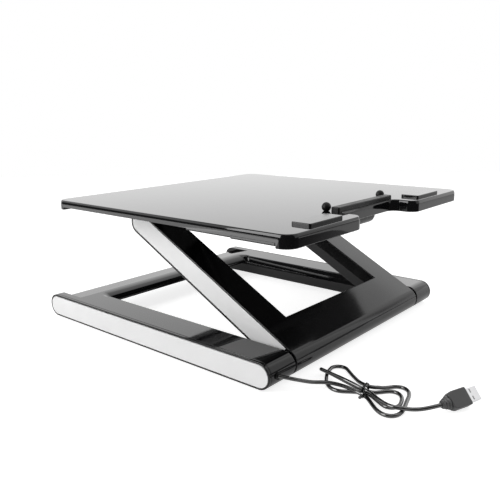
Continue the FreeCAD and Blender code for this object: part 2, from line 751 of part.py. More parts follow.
def usb_plug():
    body = new_body("usb_plug")
    body.Placement = plug_frame()
    outline = new_sketch(body, "outline", "XY_Plane", "0 - plug_thickness / 2")
    corners = [
        ("plug_length / 2", "plug_width / 2"),
        ("plug_taper - plug_length / 2", "plug_width / 2"),
        ("0 - plug_length / 2", "neck_radius"),
        ("0 - plug_length / 2", "0 - neck_radius"),
        ("plug_taper - plug_length / 2", "0 - plug_width / 2"),
        ("plug_length / 2", "0 - plug_width / 2"),
    ]
    draw_polygon(outline, corners)
    pad(body, outline, "plug_thickness")
    return body


def usb_neck():
    """The tapered strain relief between the cord and the plug."""
    neck = doc.addObject("Part::Cone", "usb_neck")
    neck.Label = "usb_neck"
    neck.setExpression("Radius1", size("neck_radius"))
    neck.setExpression("Radius2", size("neck_tip_radius"))
    neck.setExpression("Height", size("neck_length"))
    rear = FreeCAD.Vector(-value("plug_length / 2"), 0, 0)
    neck.Placement = plug_frame() * FreeCAD.Placement(rear, FreeCAD.Rotation(Y_AXIS, -90))
    return neck


def usb_shell():
    """The plug's metal shell, open at its front."""
    back_wall = "( shell_length - shell_depth )"
    walls = []
    for name, trim, start in (("usb_shell_outer", "0", "0"), ("usb_shell_inner", "shell_wall", back_wall)):
        solid = doc.addObject("Part::Box", name)
        solid.setExpression("Length", size(f"shell_length - {start}"))
        solid.setExpression("Width", size(f"shell_width - 2 * {trim}"))
        solid.setExpression("Height", size(f"shell_thickness - 2 * {trim}"))
        corner = FreeCAD.Vector(
            value(f"plug_length / 2 + {start}"),
            value(f"{trim} - shell_width / 2"),
            value(f"{trim} - shell_thickness / 2"),
        )
        solid.Placement = plug_frame() * FreeCAD.Placement(corner, FreeCAD.Rotation())
        walls.append(solid)
    shell = doc.addObject("Part::Cut", "usb_shell")
    shell.Label = "usb_shell"
    shell.Base, shell.Tool = walls
    return shell


gland_mouth = beside_gland(0, 0, value(AXIS_Z))
lead_points = [gland_mouth] + [beside_gland(*point) for point in LEAD_ROUTE]
tail_points = [beside_gland(*point) for point in TAIL_ROUTE] + [beside_gland(*CORD_END, value(PLUG_Z))]

pieces = [base_rear_bar(), base_gland(), arm_lower_plate()]
pieces += [panel_deck(), panel_lip(), panel_rear_lip(), panel_stop(), panel_hinge_block(), panel_tub()]
pieces += [cord_tube("cord_lead", lead_points), cord_hank(), cord_tie(), cord_tube("cord_tail", tail_points)]
pieces += [usb_neck(), usb_plug(), usb_shell()]
for side in (LEFT, RIGHT):
    name = SIDE_NAMES[side]
    pieces += [base_rail(side), base_cap(side), base_inlay(side)]
    pieces += [foot(side, "front"), foot(side, "rear")]
    pieces += [arm_leg(side), arm_stripe(side)]
    pieces += [panel_skirt(side), panel_pad(side), panel_peg(side)]
    pieces += [
        pin(f"lower_{name}_pin", f"{side} * {RAIL_INNER}", side, AXIS_Y, AXIS_Z),
        pin(f"upper_{name}_pin", f"{side} * {LEG_INNER}", side, TOP_AXIS_Y, TOP_AXIS_Z),
    ]
doc.recompute()

# Every object must be sound before anything is written
for obj in doc.Objects:
    if "Invalid" in obj.State or "Error" in obj.State:
        raise RuntimeError(f"{obj.Label} failed: {obj.State}")
for piece in pieces:
    if piece.Shape.isNull() or not piece.Shape.isValid():
        raise RuntimeError(f"{piece.Label} has no sound shape")
    if len(piece.Shape.Solids) != 1:
        raise RuntimeError(f"{piece.Label} is not one solid")

os.makedirs("parts", exist_ok=True)
for piece in pieces:
    piece.Shape.exportStep(f"parts/{piece.Label}.step")

whole = FreeCAD.BoundBox()
for piece in pieces:
    whole.add(piece.Shape.BoundBox)
print("box", whole)
places = {
    "AXIS_Y": AXIS_Y,
    "AXIS_Z": AXIS_Z,
    "TOP_AXIS_Y": TOP_AXIS_Y,
    "TOP_AXIS_Z": TOP_AXIS_Z,
    "DECK_TOP": DECK_TOP,
    "PANEL_FRONT": PANEL_FRONT,
    "BASE_FRONT": BASE_FRONT,
}
for name, formula in places.items():
    print(name, round(value(formula), 4))
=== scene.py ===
"""Dresses the folding stand: gloss black mouldings, pale inlays, rubber pads and the tied cord.

Metres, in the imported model's frame: +X along the hinges to the right, +Y to the rear, +Z up.
"""
import json
import math

import bmesh
import bpy
from mathutils import Matrix, Quaternion, Vector


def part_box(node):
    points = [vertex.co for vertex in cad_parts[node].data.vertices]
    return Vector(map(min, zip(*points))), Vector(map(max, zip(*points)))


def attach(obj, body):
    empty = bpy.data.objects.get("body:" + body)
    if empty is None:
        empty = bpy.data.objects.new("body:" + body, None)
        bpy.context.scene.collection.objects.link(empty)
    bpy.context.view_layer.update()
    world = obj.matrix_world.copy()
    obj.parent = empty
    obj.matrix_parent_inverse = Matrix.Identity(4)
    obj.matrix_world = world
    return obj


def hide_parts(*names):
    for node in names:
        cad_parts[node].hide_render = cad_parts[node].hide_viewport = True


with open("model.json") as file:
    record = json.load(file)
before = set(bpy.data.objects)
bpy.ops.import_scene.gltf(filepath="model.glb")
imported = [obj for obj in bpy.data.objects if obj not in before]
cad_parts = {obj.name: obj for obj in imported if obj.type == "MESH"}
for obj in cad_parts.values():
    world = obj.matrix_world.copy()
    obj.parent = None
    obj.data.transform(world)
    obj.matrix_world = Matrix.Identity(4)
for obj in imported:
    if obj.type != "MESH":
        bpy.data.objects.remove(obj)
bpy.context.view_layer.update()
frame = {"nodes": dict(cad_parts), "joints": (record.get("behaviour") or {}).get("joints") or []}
scene = bpy.context.scene
MM = 0.001

# Camera, fitted to the stand's edges and corners
IMAGE_PIXELS = 500
FOCAL_PIXELS = 597.7
SENSOR_MM = 36.0
CAMERA_PLACE = Vector((-0.52407, -0.44518, 0.23719))
CAMERA_YAW = math.radians(49.527)
CAMERA_PITCH = math.radians(-13.271)
CAMERA_ROLL = math.radians(0.66)
NEAREST_SEEN = 0.01


def add_camera():
    flat = math.cos(CAMERA_PITCH)
    forward = Vector((math.sin(CAMERA_YAW) * flat, math.cos(CAMERA_YAW) * flat, math.sin(CAMERA_PITCH)))
    level = Vector((math.cos(CAMERA_YAW), -math.sin(CAMERA_YAW), 0))
    down = forward.cross(level)
    across = level * math.cos(CAMERA_ROLL) + down * math.sin(CAMERA_ROLL)
    upward = level * math.sin(CAMERA_ROLL) - down * math.cos(CAMERA_ROLL)
    lens = bpy.data.cameras.new("camera")
    lens.sensor_width = SENSOR_MM
    lens.lens = FOCAL_PIXELS / IMAGE_PIXELS * SENSOR_MM
    lens.clip_start = NEAREST_SEEN
    camera = bpy.data.objects.new("camera", lens)
    turn = Matrix((across, upward, -forward)).transposed()
    camera.matrix_world = Matrix.Translation(CAMERA_PLACE) @ turn.to_4x4()
    scene.collection.objects.link(camera)
    bpy.context.scene.camera = camera


add_camera()

# Mesh helpers: an outline runs counterclockwise, and side i of it leaves point i
ROUND_STEPS = 5
ARC_STEPS = 12
EASE_STEPS = 6
LATHE_STEPS = 32
GENTLE_TURN = 0.35


def arc(across, along, radius, start, end, steps=ARC_STEPS):
    """Points on an arc, from one angle to the other in degrees."""
    turns = [math.radians(start + (end - start) * i / steps) for i in range(steps + 1)]
    return [Vector((across + radius * math.cos(t), along + radius * math.sin(t))) for t in turns]


def slot_outline(start, end, radius):
    """A slot along its first axis between two round centres."""
    return arc(end, 0, radius, -90, 90, 2 * ARC_STEPS) + arc(start, 0, radius, 90, 270, 2 * ARC_STEPS)


def box_outline(left, right, near, far, radius):
    """A rectangle with round corners."""
    points = arc(right - radius, near + radius, radius, -90, 0)
    points += arc(right - radius, far - radius, radius, 0, 90)
    points += arc(left + radius, far - radius, radius, 90, 180)
    return points + arc(left + radius, near + radius, radius, 180, 270)


def eased_outline(corners, reach):
    """A polygon whose corners are eased over the given reach along both sides."""
    points = []
    for i, corner in enumerate(corners):
        before = corner + (corners[i - 1] - corner).normalized() * reach
        after = corner + (corners[(i + 1) % len(corners)] - corner).normalized() * reach
        for k in range(EASE_STEPS + 1):
            t = k / EASE_STEPS
            points.append(before * (1 - t) ** 2 + corner * 2 * t * (1 - t) + after * t ** 2)
    return points


def mirrored(right_half):
    """A whole outline from its right half, which runs from the near middle to the far middle."""
    return right_half + [Vector((-p.x, p.y)) for p in reversed(right_half)]


def inset(outline, depths):
    """The outline with each of its sides moved inward by its own depth."""
    moved = []
    for i, here in enumerate(outline):
        before = (here - outline[i - 1]).normalized()
        after = (outline[(i + 1) % len(outline)] - here).normalized()
        first = Vector((-before.y, before.x))
        second = Vector((-after.y, after.x))
        near, far = depths[i - 1], depths[i]
        cross = first.x * second.y - first.y * second.x
        if abs(cross) < GENTLE_TURN:
            middle = (first + second).normalized()
            moved.append(here + middle * (near + far) / (2 * middle.dot(second)))
            continue
        step_x = (near * second.y - far * first.y) / cross
        step_y = (far * first.x - near * second.x) / cross
        moved.append(here + Vector((step_x, step_y)))
    return moved


def skin(bm, loops, ring=False):
    """Joins loops of points into a closed solid, or the last loop to the first in a ring."""
    rows = [[bm.verts.new(p) for p in loop] for loop in loops]
    count = len(rows[0])
    pairs = list(zip(rows, rows[1:]))
    if ring:
        pairs.append((rows[-1], rows[0]))
    for low, high in pairs:
        for i in range(count):
            j = (i + 1) % count
            bm.faces.new((low[i], low[j], high[j], high[i]))
    if not ring:
        bm.faces.new(rows[0])
        bm.faces.new(reversed(rows[-1]))


def loft(bm, outline, stations, seat, ring=False):
    """A solid through insets of one outline; a station is an inset, or one per side, and a level."""
    loops = []
    for cut, level in stations:
        depths = cut if isinstance(cut, list) else [cut] * len(outline)
        loops.append([seat(p.x, p.y, level) for p in inset(outline, depths)])
    skin(bm, loops, ring)


def edge_round(reach, drop=None):
    """Steps of inset and depth over a round edge, from the flat face to the side."""
    if reach == 0:
        return [(0, 0)]
    drop = drop or reach
    turns = [math.pi / 2 * i / ROUND_STEPS for i in range(ROUND_STEPS + 1)]
    return [(reach * (1 - math.sin(t)), drop * (1 - math.cos(t))) for t in turns]


def slab(bm, outline, low, high, low_round, high_round, seat, shares=None, draft=None):
    """A solid of one outline between two levels; a draft leans its sides, by side and level."""
    stations = [(cut, low + depth) for cut, depth in edge_round(low_round)]
    stations += [(cut, high - depth) for cut, depth in reversed(edge_round(high_round))]
    shares = shares or [1] * len(outline)
    leant = []
    for cut, level in stations:
        lean = [draft(i, level) if draft else 0 for i in range(len(outline))]
        leant.append(([cut * share + extra for share, extra in zip(shares, lean)], level))
    loft(bm, outline, leant, seat)


def lathe(bm, profile, seat, steps=LATHE_STEPS):
    """A turned solid through circles, each given as radius and level."""
    turns = [2 * math.pi * i / steps for i in range(steps)]
    skin(bm, [[seat(r * math.cos(t), r * math.sin(t), level) for t in turns] for r, level in profile])


def flat_seat(across, along, level):
    return Vector((across, along, level))


def side_seat(along, up, level):
    return Vector((level, along, up))


SHARP_ANGLE = math.radians(35)


def new_piece(name, bm, body, slot, material, *nodes):
    """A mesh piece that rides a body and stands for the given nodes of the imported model."""
    bmesh.ops.recalc_face_normals(bm, faces=bm.faces)
    mesh = bpy.data.meshes.new(name)
    bm.to_mesh(mesh)
    bm.free()
    mesh.materials.append(material)
    mesh.shade_smooth()
    mesh.set_sharp_from_angle(angle=SHARP_ANGLE)
    piece = bpy.data.objects.new(name, mesh)
    scene.collection.objects.link(piece)
    normals = piece.modifiers.new("normals", "WEIGHTED_NORMAL")
    normals.keep_sharp = True
    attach(piece, body)
    if nodes:
        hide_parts(*nodes)
    return piece


# Materials: each has a colour, its least and most roughness, and its fine relief's strength and scale
WEAR_SCALE = 45.0
WEAR_DETAIL = 6.0
WEAR_LOW = 0.3
WEAR_HIGH = 0.7
RELIEF_DETAIL = 3.0
RELIEF_DEPTH = 0.1 * MM
PIANO_BLACK = (0.005, 0.005, 0.0055)


def surface(name, colour, low_rough, high_rough, grain, grain_scale, metallic=0.0, tone=0.0, ior=1.5):
    """A principled surface whose roughness, tone and fine relief vary with noise."""
    material = bpy.data.materials.new(name)
    material.use_nodes = True
    tree = material.node_tree
    shader = tree.nodes["Principled BSDF"]
    shader.inputs["Metallic"].default_value = metallic
    shader.inputs["IOR"].default_value = ior
    place = tree.nodes.new("ShaderNodeTexCoord")
    wear = tree.nodes.new("ShaderNodeTexNoise")
    wear.inputs["Scale"].default_value = WEAR_SCALE
    wear.inputs["Detail"].default_value = WEAR_DETAIL
    tree.links.new(place.outputs["Object"], wear.inputs["Vector"])
    rough = tree.nodes.new("ShaderNodeMapRange")
    rough.inputs["From Min"].default_value = WEAR_LOW
    rough.inputs["From Max"].default_value = WEAR_HIGH
    rough.inputs["To Min"].default_value = low_rough
    rough.inputs["To Max"].default_value = high_rough
    tree.links.new(wear.outputs["Fac"], rough.inputs["Value"])
    tree.links.new(rough.outputs["Result"], shader.inputs["Roughness"])
    shade = tree.nodes.new("ShaderNodeValToRGB")
    shade.color_ramp.elements[0].position = WEAR_LOW
    shade.color_ramp.elements[0].color = [c * (1 - tone) for c in colour] + [1]
    shade.color_ramp.elements[1].position = WEAR_HIGH
    shade.color_ramp.elements[1].color = [c * (1 + tone) for c in colour] + [1]
    tree.links.new(wear.outputs["Fac"], shade.inputs["Fac"])
    tree.links.new(shade.outputs["Color"], shader.inputs["Base Color"])
    relief = tree.nodes.new("ShaderNodeTexNoise")
    relief.inputs["Scale"].default_value = grain_scale
    relief.inputs["Detail"].default_value = RELIEF_DETAIL
    tree.links.new(place.outputs["Object"], relief.inputs["Vector"])
    bump = tree.nodes.new("ShaderNodeBump")
    bump.inputs["Strength"].default_value = grain
    bump.inputs["Distance"].default_value = RELIEF_DEPTH
    tree.links.new(relief.outputs["Fac"], bump.inputs["Height"])
    tree.links.new(bump.outputs["Normal"], shader.inputs["Normal"])
    return material


GLOSS = surface("gloss_black", PIANO_BLACK, 0.03, 0.06, 0.02, 500, tone=0.1)
ARM_GLOSS = surface("arm_gloss_black", PIANO_BLACK, 0.09, 0.13, 0.02, 500, tone=0.1)
ARM_BACK = surface("arm_matt_back", (0.004, 0.004, 0.0045), 0.6, 0.75, 0.2, 2500, tone=0.1, ior=1.2)
MATTE = surface("matte_black", (0.008, 0.008, 0.0085), 0.25, 0.36, 0.2, 2500, tone=0.1, ior=1.38)
INLAY = surface("satin_white", (0.82, 0.82, 0.82), 0.3, 0.4, 0.1, 2500, tone=0.015)
# The arm's stripes are the same white as the base's inlays, painted lighter here to make up for the
# shade that falls on them: painted light.
PAINTED_LIGHT_STRIPE = surface("stripe_white_painted_light", (0.9, 0.9, 0.9), 0.3, 0.4, 0.1, 2500, tone=0.015)
RUBBER = surface("black_rubber", (0.006, 0.006, 0.006), 0.35, 0.5, 0.25, 1800, tone=0.15, ior=1.35)
SMOOTH_RUBBER = surface("smooth_rubber", (0.008, 0.008, 0.008), 0.1, 0.16, 0.05, 1800, tone=0.15)
STEEL = surface("turned_steel", (0.55, 0.55, 0.56), 0.2, 0.32, 0.1, 900, metallic=1.0, tone=0.05)
VINYL = surface("cord_vinyl", (0.004, 0.004, 0.004), 0.08, 0.14, 0.05, 1500, tone=0.15, ior=2.1)
PLUG = surface("plug_plastic", (0.07, 0.07, 0.071), 0.3, 0.42, 0.25, 2500, tone=0.1)
TINNED = surface("tinned_steel", (0.92, 0.92, 0.93), 0.25, 0.35, 0.08, 1200, metallic=1.0, tone=0.03)
INSERT = surface("plug_insert", (0.3, 0.3, 0.3), 0.35, 0.45, 0.15, 2000, tone=0.03)

# Places shared by several pieces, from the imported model
rail_low, rail_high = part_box("base_left_rail")
cap_low, cap_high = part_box("base_left_cap")
bar_low, bar_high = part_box("base_rear_bar")
leg_low, leg_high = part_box("arm_left_leg")
deck_low, deck_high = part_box("panel_deck")
lip_low, lip_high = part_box("panel_lip")
joints = {joint["name"]: Vector(joint["pos_m"]) for joint in frame["joints"]}
LOWER_AXIS = joints["arm_lift"]
UPPER_AXIS = joints["panel_level"]
ARM_LENGTH = (UPPER_AXIS - LOWER_AXIS).length
ARM_TILT = math.atan2(UPPER_AXIS.z - LOWER_AXIS.z, UPPER_AXIS.y - LOWER_AXIS.y)
END_RADIUS = (rail_high.z - rail_low.z) / 2
FRONT_END = rail_low.y + END_RADIUS
REAR_END = rail_high.y - END_RADIUS
MID_HEIGHT = rail_low.z + END_RADIUS
RAIL_OUTER = -rail_low.x
RAIL_INNER = -rail_high.x
LEG_OUTER = -leg_low.x
LEG_INNER = -leg_high.x
SIDES = {"left": -1, "right": 1}
EDGE = 0.8 * MM
PARTING = 0.25 * MM
LEAN = 2.2 * MM


def quarter_disc(up, rear):
    """A quarter of a round end about the origin, and its shares: its flat side isn't inset."""
    points = [Vector((0, 0)), *arc(0, 0, END_RADIUS, 90, 180, 2 * ARC_STEPS)]
    shares = [0] + [1] * (len(points) - 2) + [PARTING / EDGE]
    if up < 0:
        points = [Vector((p.x, -p.y)) for p in points]
    if rear:
        points = [Vector((-p.x, p.y)) for p in points]
    if rear == (up > 0):
        points.reverse()
        shares = shares[-2::-1] + shares[-1:]
    return points, shares


def leaning(level, up, inner, outer):
    """A level across a rail or leg, whose inner face leans back above and below the parting line."""
    return level + LEAN * abs(up) / END_RADIUS * (outer - level) / (outer - inner)


# Base
TAIL_WIDTH = 9 * MM
BAR_FLAT = 20 * MM
BAR_DROP = 4.5 * MM
BAR_BACK_ROUND = 3 * MM
BAR_BACK_TURN = 83
BAR_NOSE = 18 * MM
BAR_NOSE_STEPS = 10
INNER_CORNER = 4.5 * MM
SEAM = 0.5 * MM
TAIL_INNER = RAIL_OUTER - TAIL_WIDTH
BAR_CREST = bar_low.y + BAR_FLAT


def add_base_top(bm):
    """The rails' upper part in front of the slope, with the rear bar's rounded front between them."""
    right = arc(RAIL_INNER - INNER_CORNER, bar_low.y - INNER_CORNER, INNER_CORNER, 90, 0)
    bends = len(right) - 1
    right.append(Vector((RAIL_INNER, FRONT_END)))
    right.append(Vector((RAIL_OUTER, FRONT_END)))
    right.append(Vector((RAIL_OUTER, BAR_CREST)))
    outline = mirrored(right)
    last = len(outline) - 1
    height = rail_high.z - bar_low.z
    turns = [math.radians(90 * i / BAR_NOSE_STEPS) for i in range(BAR_NOSE_STEPS + 1)]
    levels = [bar_low.z + height * math.sin(turn) for turn in turns]
    levels += [rail_high.z - depth for cut, depth in edge_round(EDGE)]
    stations = []
    for level in sorted(set(levels)):
        rise = min((level - bar_low.z) / height, 1)
        nose = BAR_NOSE * (1 - math.sqrt(1 - rise * rise))
        near_top = max(level - rail_high.z + EDGE, 0)
        edge = EDGE - math.sqrt(max(EDGE * EDGE - near_top * near_top, 0))
        lean = LEAN * (level - MID_HEIGHT) / END_RADIUS
        depths = [0.0] * len(outline)
        depths[last] = nose
        for i in range(bends):
            share = (i + 0.5) / bends
            depths[i] = nose * (1 - share) + (edge + lean) * share
            depths[last - 1 - i] = depths[i]
        for i in (bends, last - 1 - bends):
            depths[i] = edge + lean
        for i in (bends + 2, last - 3 - bends):
            depths[i] = edge * SEAM / EDGE
        stations.append((depths, level))
    loft(bm, outline, stations, flat_seat)


def add_rail_body(bm, side):
    """A rail's lower part, its round front and the full-height tail beside the slope."""
    outline = [
        Vector((RAIL_INNER, FRONT_END)),
        Vector((RAIL_OUTER, FRONT_END)),
        Vector((RAIL_OUTER, BAR_CREST)),
        Vector((TAIL_INNER, BAR_CREST)),
        Vector((TAIL_INNER, bar_high.y)),
        Vector((RAIL_INNER, bar_high.y)),
    ]
    shares = [0, SEAM / EDGE, 0, 0, 1, 1]

    def draft(i, level):
        return LEAN * abs(level - MID_HEIGHT) / END_RADIUS if i == len(outline) - 1 else 0

    def plan_seat(across, along, level):
        return Vector((side * across, along, level))

    slab(bm, outline, MID_HEIGHT, bar_low.z, PARTING, 0, plan_seat, shares, draft)
    slab(bm, outline, rail_low.z, MID_HEIGHT, EDGE, PARTING, plan_seat, shares, draft)

    def front_seat(along, up, level):
        across = leaning(level, up, RAIL_INNER, RAIL_OUTER)
        return Vector((side * across, FRONT_END + along, MID_HEIGHT + up))

    for up in (1, -1):
        points, disc_shares = quarter_disc(up, False)
        slab(bm, points, RAIL_INNER, RAIL_OUTER, EDGE, SEAM, front_seat, disc_shares)

    def tail_seat(along, up, level):
        return Vector((side * level, along, MID_HEIGHT + up))

    points = arc(REAR_END, 0, END_RADIUS, -90, 90, 2 * ARC_STEPS)
    points += [Vector((BAR_CREST, END_RADIUS)), Vector((BAR_CREST, -END_RADIUS))]
    tail_shares = [1] * len(points)
    tail_shares[-2] = 0
    slab(bm, points, TAIL_INNER, RAIL_OUTER, EDGE, SEAM, tail_seat, tail_shares)


def add_base_frame():
    bm = bmesh.new()
    add_base_top(bm)
    for side in SIDES.values():
        add_rail_body(bm, side)
    back_middle = Vector((bar_high.y - BAR_BACK_ROUND, bar_high.z - BAR_DROP - BAR_BACK_ROUND))
    back = [
        Vector((BAR_CREST, bar_low.z)),
        Vector((bar_high.y, bar_low.z)),
        *arc(back_middle.x, back_middle.y, BAR_BACK_ROUND, 0, BAR_BACK_TURN),
        Vector((BAR_CREST, bar_high.z)),
    ]
    slab(bm, back, -TAIL_INNER, TAIL_INNER, 0, 0, side_seat)
    nodes = ("base_left_rail", "base_right_rail", "base_rear_bar")
    new_piece("base_frame", bm, "base", "gloss_black", GLOSS, *nodes)


CAP_EDGE = 0.6 * MM
INLAY_MARGIN = 1.5 * MM
INLAY_GAP = 0.3 * MM
INLAY_EDGE = 0.35 * MM
INLAY_DEPTH = 2 * MM
BAND_DROP = 0.3 * MM


def add_cap(name, side):
    outer = side * -cap_low.x
    inner = side * -cap_high.x
    outline = slot_outline(FRONT_END, REAR_END, END_RADIUS)

    def seat(along, up, level):
        return Vector((level, along, MID_HEIGHT + up))

    bm = bmesh.new()
    stations = [(SEAM, inner), (0, inner + side * SEAM)]
    stations += [(cut, outer - side * depth) for cut, depth in reversed(edge_round(CAP_EDGE))]
    bed = outer - side * INLAY_DEPTH
    stations += [(INLAY_MARGIN, outer), (INLAY_MARGIN, bed)]
    loft(bm, outline, stations, seat)
    new_piece(f"base_{name}_cover", bm, "base", "gloss_black", GLOSS, f"base_{name}_cap")
    bm = bmesh.new()
    pale = slot_outline(FRONT_END, REAR_END, END_RADIUS - INLAY_MARGIN - INLAY_GAP - BAND_DROP)
    pale = [p - Vector((0, BAND_DROP)) for p in pale]
    stations = [(0, bed)]
    stations += [(cut, outer - side * depth) for cut, depth in reversed(edge_round(INLAY_EDGE))]
    loft(bm, pale, stations, seat)
    new_piece(f"base_{name}_band", bm, "base", "white_inlay", INLAY, f"base_{name}_inlay")


add_base_frame()
for side_name, side_sign in SIDES.items():
    add_cap(side_name, side_sign)

# Arm
PLATE_REACH = 37.7 * MM
STRIPE_START = 6 * MM
STRIPE_PROUD = 0.06 * MM
STRIPE_RISE = 0.45 * MM
BARREL_GROOVE = 0.45 * MM
GROOVE_TURN = 135
FLAT_BACK = 0.98


def arm_seat(along, up, across):
    """A place in the arm's own axes: along it from the lower hinge, out of its face, and across."""
    ahead = along * math.cos(ARM_TILT) - up * math.sin(ARM_TILT)
    height = along * math.sin(ARM_TILT) + up * math.cos(ARM_TILT)
    return Vector((across, LOWER_AXIS.y + ahead, LOWER_AXIS.z + height))


def arm_plan():
    """The arm's U without its round ends, how far each side is rounded and which ones lean."""
    right = [Vector((LEG_OUTER, 0)), Vector((LEG_OUTER, ARM_LENGTH)), Vector((LEG_INNER, ARM_LENGTH))]
    right.append(Vector((LEG_INNER, PLATE_REACH)))
    outline = mirrored(right)
    shares = []
    leans = []
    for here, there in zip(outline, outline[1:] + outline[:1]):
        end = abs(here.y - there.y) < EDGE and min(abs(here.y), abs(here.y - ARM_LENGTH)) < EDGE
        outer = min(abs(here.x), abs(there.x)) > LEG_OUTER - EDGE
        shares.append(0 if end else 1)
        leans.append(0 if end or outer else LEAN)
    return outline, shares, leans


def barrel_sectors():
    """The barrel's half-round front as two sectors with a groove between, and each side's rounding."""
    rim = math.degrees(math.asin(BARREL_GROOVE / END_RADIUS))
    floor = arc(0, 0, END_RADIUS - BARREL_GROOVE, GROOVE_TURN, GROOVE_TURN, 1)[0]
    upper = [Vector((0, 0)), *arc(0, 0, END_RADIUS, 90, GROOVE_TURN - rim), floor]
    lower = [Vector((0, 0)), floor, *arc(0, 0, END_RADIUS, GROOVE_TURN + rim, 270, 2 * ARC_STEPS)]
    return [(upper, [0] + [1] * (len(upper) - 2) + [0]), (lower, [0] + [1] * (len(lower) - 2) + [0])]


def add_arm_frame():
    """The arm's U, gloss black apart from its flat back, which is matt."""
    bm = bmesh.new()
    outline, shares, leans = arm_plan()

    def plan_seat(across, along, level):
        return arm_seat(along, level, across)

    def draft(i, level):
        return leans[i] * abs(level) / END_RADIUS

    slab(bm, outline, 0, END_RADIUS, PARTING, EDGE, plan_seat, shares, draft)
    slab(bm, outline, -END_RADIUS, 0, EDGE, PARTING, plan_seat, shares, draft)
    for points, sector_shares in barrel_sectors():
        slab(bm, points, -LEG_OUTER, LEG_OUTER, EDGE, EDGE, arm_seat, sector_shares)
    for side in SIDES.values():

        def top_seat(along, up, level):
            return arm_seat(ARM_LENGTH + along, up, side * leaning(level, up, LEG_INNER, LEG_OUTER))

        for up in (1, -1):
            points, disc_shares = quarter_disc(up, True)
            slab(bm, points, LEG_INNER, LEG_OUTER, EDGE, EDGE, top_seat, disc_shares)
    nodes = ("arm_left_leg", "arm_right_leg", "arm_lower_plate")
    arm = new_piece("arm_frame", bm, "arm", "gloss_black", ARM_GLOSS, *nodes)
    arm.data.materials.append(ARM_BACK)
    back = arm_seat(0, 0, 0) - arm_seat(0, 1, 0)
    for face in arm.data.polygons:
        if face.normal.dot(back) > FLAT_BACK:
            face.material_index = 1


def add_stripe(name, side):
    bm = bmesh.new()
    radius = END_RADIUS - INLAY_MARGIN - INLAY_GAP - STRIPE_RISE
    outline = arc(ARM_LENGTH, STRIPE_RISE, radius, -90, 90, 2 * ARC_STEPS)
    outline.append(Vector((STRIPE_START, STRIPE_RISE + radius)))
    outline.append(Vector((STRIPE_START, STRIPE_RISE - radius)))
    outer = side * (LEG_OUTER + STRIPE_PROUD)
    stations = [(0, side * (LEG_OUTER - INLAY_DEPTH))]
    stations += [(cut, outer - side * depth) for cut, depth in reversed(edge_round(INLAY_EDGE))]
    loft(bm, outline, stations, arm_seat)
    # The stripe's white is painted lighter than the inlays' white, as painted light against the shade on
    # it.
    new_piece(f"arm_{name}_band", bm, "arm", "white_inlay", PAINTED_LIGHT_STRIPE, f"arm_{name}_stripe")


add_arm_frame()
for side_name, side_sign in SIDES.items():
    add_stripe(side_name, side_sign)

# Panel
DECK_CORNER = 12 * MM
DECK_EDGE = 1.6 * MM
DECK_EDGE_DROP = 5 * MM
NOTCH_HALF = 52.5 * MM
NOTCH_DEPTH = 27 * MM
NOTCH_CORNER = 10 * MM
LIP_DEPTH = 13 * MM
LIP_EDGE = 0.9 * MM
LIP_END = 14 * MM
SKIRT_WIDTH = 8 * MM
SKIRT_STEP = 3 * MM
SKIRT_LENGTH = 62 * MM
SKIRT_RUN = 118 * MM
SKIRT_SEAM = 0.5 * MM
SKIRT_CORNER = 0.9 * MM
TUB_CORNER = 9.5 * MM
TUB_ROUND = 9 * MM
STOP_CORNER = 1.5 * MM
STOP_ROUND = 1.2 * MM
PAD_CORNER = 2 * MM
PAD_ROUND = 0.7 * MM
PEG_STEPS = 14
PEG_TIP = 0.02


def panel_front():
    """The right half of the panel's front edge, from the notch's middle to the front corner's side."""
    front = deck_low.y
    points = arc(NOTCH_HALF - NOTCH_CORNER, front + NOTCH_DEPTH - NOTCH_CORNER, NOTCH_CORNER, 90, 0)
    points += arc(NOTCH_HALF + NOTCH_CORNER, front + NOTCH_CORNER, NOTCH_CORNER, 180, 270)
    return points + arc(deck_high.x - DECK_CORNER, front + DECK_CORNER, DECK_CORNER, -90, 0)


def panel_rear():
    """The right half of the panel's rear edge, from the corner's side to the middle."""
    return arc(deck_high.x - DECK_CORNER, deck_high.y - DECK_CORNER, DECK_CORNER, 0, 90)


def add_panel_shell():
    bm = bmesh.new()
    edge = reversed(edge_round(DECK_EDGE, DECK_EDGE_DROP))
    stations = [(0, deck_low.z)] + [(cut, deck_high.z - depth) for cut, depth in edge]
    loft(bm, mirrored(panel_front() + panel_rear()), stations, flat_seat)
    front = deck_low.y
    lip = panel_front()
    lip.append(Vector((deck_high.x, front + LIP_END)))
    lip.append(Vector((deck_high.x - SKIRT_WIDTH, front + LIP_END)))
    lip.append(Vector((deck_high.x - SKIRT_WIDTH, front + LIP_DEPTH)))
    lip.append(Vector((NOTCH_HALF + LIP_DEPTH, front + LIP_DEPTH)))
    lip.append(Vector((NOTCH_HALF + LIP_DEPTH, front + NOTCH_DEPTH + LIP_DEPTH)))
    slab(bm, mirrored(lip), lip_low.z, lip_high.z, LIP_EDGE, 0, flat_seat)
    skirt_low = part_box("panel_left_skirt")[0].z
    inner = deck_high.x - SKIRT_WIDTH
    for side in SIDES.values():
        for outer, start, end in (
            (deck_high.x, front + LIP_END, front + SKIRT_LENGTH),
            (deck_high.x - SKIRT_STEP, front + SKIRT_LENGTH, front + SKIRT_RUN),
        ):
            outline = box_outline(*sorted((side * outer, side * inner)), start, end, SKIRT_CORNER)
            slab(bm, outline, skirt_low, deck_low.z, EDGE, SKIRT_SEAM, flat_seat)
    rear_low, rear_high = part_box("panel_rear_lip")
    rear = [Vector((deck_high.x, rear_low.y))] + panel_rear()
    slab(bm, mirrored(rear), rear_low.z, rear_high.z, EDGE, 0, flat_seat)
    nodes = ("panel_deck", "panel_lip", "panel_left_skirt", "panel_right_skirt", "panel_rear_lip")
    new_piece("panel_shell", bm, "panel", "gloss_black", GLOSS, *nodes)


